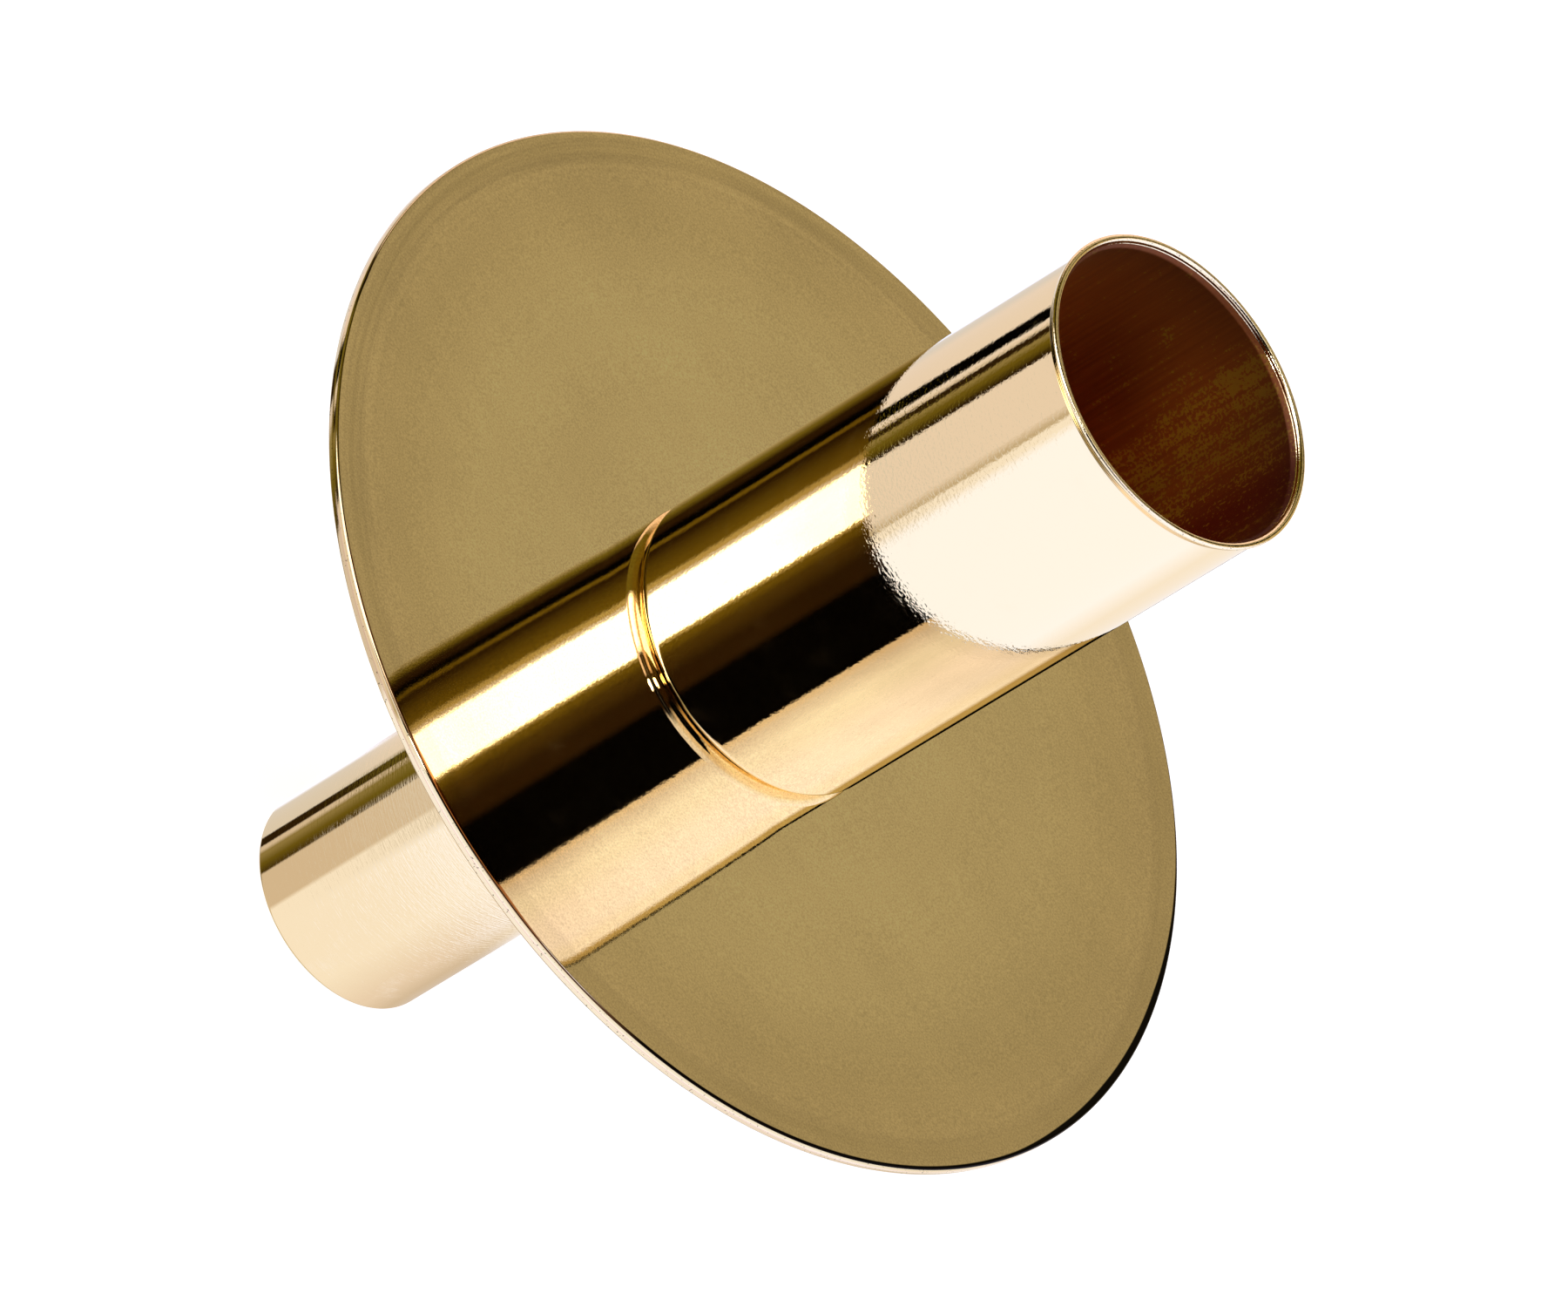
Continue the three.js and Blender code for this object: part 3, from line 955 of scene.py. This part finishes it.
zinc, tree = new_material("bright zinc plate, passivated")
spot = add(tree, "ShaderNodeTexCoord").outputs["Object"]
clouds = {"Vector": spot, "Scale": 1 / (CLOUD_SIZE * MM), "Detail": 3.0}
clouds = add(tree, "ShaderNodeTexNoise", {}, clouds).outputs[0]
grit = {"Vector": spot, "Scale": 1 / (GRIT_SIZE * MM), "Detail": 1.0}
grit = add(tree, "ShaderNodeTexNoise", {}, grit).outputs[0]
tone = {0: clouds, 6: ZINC_DARK, 7: ZINC_LIGHT}
tone = add(tree, "ShaderNodeMix", MIX_COLOURS, tone).outputs[2]
satin = add(tree, "ShaderNodeMapRange", {}, {0: clouds, **NOISE_ENDS, **SATIN}).outputs[0]
surface(zinc, tone, roughness=satin, height=grit, depth=GRIT_DEPTH)

# %% [markdown]
# The candle cup is drawn from sheet over a punch, so its foot is closed and has one tight,
# even bend. The rim was trimmed and turned out a little, which lets the candle slide in.
# The flare is two opposite bends, so the section has a slanted step there. The roundings
# on the rim almost meet and leave only a hundredth of a millimetre flat.

# %% Candle cup
def is_inside(spot, outer, height, bend, sheet):
    """Whether a spot lies on the inner side of a drawn cup, at a height over its base."""
    past_bend = max(0, Vector((spot.x, spot.y)).length - (outer - bend))
    below_bend = max(0, bend - height)
    return Vector((past_bend, below_bend)).length < bend - sheet / 2


CUP_BEND = 1.1  # the outer radius of the bend at the foot
LIP_HEIGHT = 0.8
FLARE_FROM = 0.12  # heights over the lip's start, where the wall begins and ends its slant
FLARE_TO = 0.45
FLARE_ROUND = 0.15
RIM_FLAT = 0.01

rim = cup_high.z
foot = cup_low.z
lip = rim - LIP_HEIGHT
rim_round = (CUP_SHEET - RIM_FLAT) / 2
floor_top = foot + CUP_SHEET

bm = spun(
    [
        (SCREW_HOLE, foot),
        (cup_outer, foot, CUP_BEND, 16),
        (cup_outer, lip + FLARE_FROM, FLARE_FROM, 5),
        (cup_outer + LIP_FLARE, lip + FLARE_TO, FLARE_ROUND, 5),
        (cup_outer + LIP_FLARE, rim, rim_round, 8),
        (cup_inner + LIP_FLARE, rim, rim_round, 8),
        (cup_inner + LIP_FLARE, lip + FLARE_TO, FLARE_ROUND, 5),
        (cup_inner, lip + FLARE_FROM, FLARE_FROM, 5),
        (cup_inner, floor_top, CUP_BEND - CUP_SHEET, 10),
        (SCREW_HOLE, floor_top),
    ]
)
for face in bm.faces:
    spot = face.calc_center_median() / MM
    inside = is_inside(spot, cup_outer, spot.z - foot, CUP_BEND, CUP_SHEET)
    dressed = spot.z > rim - (LIP_HEIGHT / 2 if inside else CUP_SHEET / 2)
    face.material_index = 2 if dressed else 1 if inside else 0
cup = finish_mesh(bm, "candle_cup_drawn", [cup_gold, bore_brown, rim_gold])

# %% [markdown]
# The disc is a blanked circle, flat where the cup and the bottle's lip touch it and dished a
# little outside, by less than a millimetre. The dish shows only in the mirror image: the
# image of the cup widens towards the rim. The dish is a curve that no single rounding
# makes, so its points are worked out one by one, close enough for a mirror.
#
# The two edges are broken by a fifth of a millimetre. They matter, because each is a tiny
# mirror that draws a thin line round the disc.

# %% Drip disc
DISC_EDGE = 0.2
DISC_SEAT = 14.5  # the radius of the flat middle
DISH_POWER = 1.5
DISH_RINGS = 28
DISC_SIDES = 384
WALL_DEPTH = 0.02  # how far inside the rim a face still belongs to the cut wall


def dished_face(seat_height):
    """Corners along one face of the disc, from the flat seat's edge almost to the rim."""
    steps = [i / DISH_RINGS for i in range(DISH_RINGS)]
    run = disc_radius - DISC_EDGE - DISC_SEAT
    return [(DISC_SEAT + run * t, seat_height + DISC_DISH * t**DISH_POWER) for t in steps]


bm = spun(
    [
        (SCREW_HOLE, disc_low.z),
        *dished_face(disc_low.z),
        (disc_radius, DISC_DISH, DISC_EDGE, 8),
        (disc_radius, disc_high.z, DISC_EDGE, 8),
        *reversed(dished_face(disc_top)),
        (SCREW_HOLE, disc_top),
    ],
    sides=DISC_SIDES,
)
for face in bm.faces:
    spot = face.calc_center_median() / MM
    on_wall = Vector((spot.x, spot.y)).length > disc_radius - WALL_DEPTH
    face.material_index = 1 if on_wall else 0
disc = finish_mesh(bm, "drip_disc_blank", [disc_gold, wall_gold])

# %% [markdown]
# The spigot is a second drawn cup, turned over, so its closed end lies under the disc and
# its open end points down into the bottle.

# %% Neck spigot
SPIGOT_BEND = 1.2
SPIGOT_END_ROUND = 0.35

end = spigot_low.z
head = -SPIGOT_SHEET

bm = spun(
    [
        (SCREW_HOLE, head),
        (spigot_inner, head, SPIGOT_BEND - SPIGOT_SHEET, 8),
        (spigot_inner, end, SPIGOT_END_ROUND, 8),
        (spigot_outer, end, SPIGOT_END_ROUND, 8),
        (spigot_outer, 0, SPIGOT_BEND, 12),
        (SCREW_HOLE, 0),
    ]
)
for face in bm.faces:
    spot = face.calc_center_median() / MM
    inside = is_inside(spot, spigot_outer, -spot.z, SPIGOT_BEND, SPIGOT_SHEET)
    face.material_index = 1 if inside else 0
spigot = finish_mesh(bm, "neck_spigot_drawn", [spigot_gold, bore_brown])

# %% [markdown]
# The screw has a cheese head with a cross recess, and a thread that is a true helix. Its
# surface is one turn of a short zigzag, root to crest to root, which climbs by the pitch as
# it goes round, so the spin gets a step upwards as well. The rod made this way is cut flat
# at both ends, and its last turn is taken down to a cone, as a rolled screw's point is.

# %% Screw's thread
THREAD_MAJOR = 2.0
THREAD_ROOT = 1.57
THREAD_PITCH = 0.7
THREAD_STEPS = 40
HEAD_HEIGHT = 2.6
THREAD_IN_HEAD = 0.3
POINT_BEVEL = 0.5

head_top = screw_high.z
head_under = head_top - HEAD_HEIGHT
head_radius = screw_high.x
rod_low = screw_low.z

rod = bmesh.new()
turns = round((head_under - rod_low) / THREAD_PITCH) + 2
zigzag = [
    (THREAD_ROOT, 0),
    (THREAD_ROOT, 0.25),
    (THREAD_MAJOR, 0.56),
    (THREAD_MAJOR, 0.69),
    (THREAD_ROOT, 1),
]
first_turn = rod_low - THREAD_PITCH
line = [rod.verts.new((r * MM, 0, (first_turn + t * THREAD_PITCH) * MM)) for r, t in zigzag]
edges = [rod.edges.new(pair) for pair in zip(line, line[1:])]
bmesh.ops.spin(
    rod,
    geom=[*line, *edges],
    cent=(0, 0, 0),
    axis=(0, 0, 1),
    dvec=(0, 0, THREAD_PITCH * MM / THREAD_STEPS),
    angle=2 * pi * turns,
    steps=THREAD_STEPS * turns,
)
bmesh.ops.remove_doubles(rod, verts=rod.verts, dist=0.002 * MM)
for height, up_side in ((rod_low, False), (head_under + THREAD_IN_HEAD, True)):
    cut = bmesh.ops.bisect_plane(
        rod,
        geom=rod.verts[:] + rod.edges[:] + rod.faces[:],
        dist=0.0001 * MM,
        plane_co=(0, 0, height * MM),
        plane_no=(0, 0, 1),
        clear_outer=up_side,
        clear_inner=not up_side,
    )["geom_cut"]
    bmesh.ops.edgeloop_fill(rod, edges=[e for e in cut if isinstance(e, bmesh.types.BMEdge)])
for vert in rod.verts:
    reach = Vector((vert.co.x, vert.co.y)).length / MM
    allowed = THREAD_MAJOR - POINT_BEVEL + vert.co.z / MM - rod_low
    if reach > allowed:
        vert.co.x *= allowed / reach
        vert.co.y *= allowed / reach
thread = finish_mesh(rod, "clamp_screw_thread", [zinc])

# %% [markdown]
# The head is spun as well. Its cross is milled with a tapered cutter: two blades across
# each other, wider and longer where they leave the head than at the recess's floor. A
# boolean modifier takes them out of the head.

# %% Screw's head and cross
HEAD_ROUND = 0.3
HEAD_FOOT_ROUND = 0.12
CROSS_LENGTH = 4.0
CROSS_WIDTH = 0.9
CROSS_DEPTH = 1.6
CROSS_PROUD = 0.4
SUNK_TAPER = (0.55, 0.8)
OPEN_TAPER = (1.15, 1.05)
HARDWARE_SIDES = 96

bm = spun(
    [
        (0, head_under),
        (head_radius, head_under, HEAD_FOOT_ROUND, 3),
        (head_radius, head_top, HEAD_ROUND, 6),
        (0, head_top),
    ],
    sides=HARDWARE_SIDES,
)
screw = finish_mesh(bm, "clamp_screw_head", [zinc])

blades = bmesh.new()
for turned in (0, pi / 2):
    blade = bmesh.ops.create_cube(blades, size=1.0)["verts"]
    for vert in blade:
        sunk = vert.co.z < 0
        longer, wider = SUNK_TAPER if sunk else OPEN_TAPER
        vert.co.x *= CROSS_LENGTH * longer * MM
        vert.co.y *= CROSS_WIDTH * wider * MM
        vert.co.z = (head_top - CROSS_DEPTH if sunk else head_top + CROSS_PROUD) * MM
    turning = Matrix.Rotation(turned, 3, "Z")
    bmesh.ops.rotate(blades, verts=blade, cent=(0, 0, 0), matrix=turning)
cutter = finish_mesh(blades, "cross_cutter", [zinc])


def carve(piece, tool, operation):
    """Cuts a piece with a tool and returns what is left, in place of the two of them."""
    step = piece.modifiers.new("carve", "BOOLEAN")
    step.operation = operation
    step.solver = "EXACT"
    step.use_self = True
    step.object = tool
    piece.modifiers.move(len(piece.modifiers) - 1, 0)
    evaluated = piece.evaluated_get(bpy.context.evaluated_depsgraph_get())
    shaped = bpy.data.meshes.new_from_object(evaluated)
    bm = bmesh.new()
    bm.from_mesh(shaped)
    name = piece.name
    for spent in (piece, tool):
        bpy.data.objects.remove(spent)
    return finish_mesh(bm, name, [zinc])


screw = carve(screw, cutter, "DIFFERENCE")

# %% [markdown]
# The nut is a hexagon whose corners are turned down to a cone at both faces, which leaves
# the curved edges that every nut has. So it is made the same way: a turned blank with the
# bevels and the bore, and a hexagonal prism that keeps what lies inside both.

# %% Hex nut
ACROSS_FLATS = 7.0
NUT_BEVEL = 0.35
NUT_BORE = 1.72
BORE_SINK = 0.35
PRISM_PROUD = 1.0

corner = ACROSS_FLATS / 3**0.5
prism_height = nut_high.z - nut_low.z + 2 * PRISM_PROUD
bm = spun(
    [
        (NUT_BORE, nut_low.z + BORE_SINK),
        (NUT_BORE + BORE_SINK, nut_low.z),
        (corner - NUT_BEVEL * 2, nut_low.z),
        (corner, nut_low.z + NUT_BEVEL),
        (corner, nut_high.z - NUT_BEVEL),
        (corner - NUT_BEVEL * 2, nut_high.z),
        (NUT_BORE + BORE_SINK, nut_high.z),
        (NUT_BORE, nut_high.z - BORE_SINK),
    ],
    sides=HARDWARE_SIDES,
)
nut = finish_mesh(bm, "hex_nut_faced", [zinc])
hexagon = bmesh.new()
bmesh.ops.create_circle(hexagon, cap_ends=True, segments=6, radius=corner * MM)
raised = bmesh.ops.extrude_face_region(hexagon, geom=hexagon.faces[:])["geom"]
tall = [g for g in raised if isinstance(g, bmesh.types.BMVert)]
bmesh.ops.translate(hexagon, verts=tall, vec=(0, 0, prism_height * MM))
bmesh.ops.translate(hexagon, verts=hexagon.verts, vec=(0, 0, (nut_low.z - PRISM_PROUD) * MM))
turning = Matrix.Rotation(pi / 6, 3, "Z")
bmesh.ops.rotate(hexagon, verts=hexagon.verts, cent=(0, 0, 0), matrix=turning)
prism = finish_mesh(hexagon, "nut_prism", [zinc])
print("hexagon's corner in mm:", [round(x / MM, 2) for x in prism.data.vertices[0].co])
nut = carve(nut, prism, "INTERSECT")

# %% [markdown]
# The spring washer is a bar of rolled wire, bent into a ring that doesn't quite close, and
# the tightened nut presses it flat. Its section goes round almost a full turn, and the two
# cut ends are closed.

# %% Spring washer
WASHER_SPLIT = 0.8
WASHER_ROUND = 0.12

washer_outer = -washer_low.x
gap = 2 * atan(WASHER_SPLIT / (SCREW_HOLE + washer_outer))
bm = section(
    [
        (SCREW_HOLE, washer_low.z, WASHER_ROUND, 3),
        (washer_outer, washer_low.z, WASHER_ROUND, 3),
        (washer_outer, washer_high.z, WASHER_ROUND, 3),
        (SCREW_HOLE, washer_high.z, WASHER_ROUND, 3),
    ]
)
turning = Matrix.Rotation(gap / 2, 3, "Z")
bmesh.ops.rotate(bm, verts=bm.verts, cent=(0, 0, 0), matrix=turning)
bmesh.ops.spin(
    bm,
    geom=bm.verts[:] + bm.edges[:],
    cent=(0, 0, 0),
    axis=(0, 0, 1),
    angle=2 * pi - gap,
    steps=HARDWARE_SIDES,
)
bmesh.ops.holes_fill(bm, edges=[e for e in bm.edges if e.is_boundary], sides=0)
washer = finish_mesh(bm, "spring_washer_bent", [zinc])

# %% [markdown]
# Last, each piece is tied to the engineering model. Nothing on this candlestick moves, so
# all pieces ride on its one body. Each takes the place of its solid, and its plating is printed.
# The screw's head and its thread take the place of one solid together.

# %% Ride and replace
for piece, node, finish in (
    (cup, "candle_cup", "gold_plate"),
    (disc, "drip_disc", "gold_plate"),
    (spigot, "neck_spigot", "gold_plate"),
    (screw, "clamp_screw", "zinc_steel"),
    (thread, "clamp_screw", "zinc_steel"),
    (washer, "spring_washer", "zinc_steel"),
    (nut, "hex_nut", "zinc_steel"),
):
    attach(piece, "root")
    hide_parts(node)
    print(f"{piece.name} stands for {node}, in {finish}")
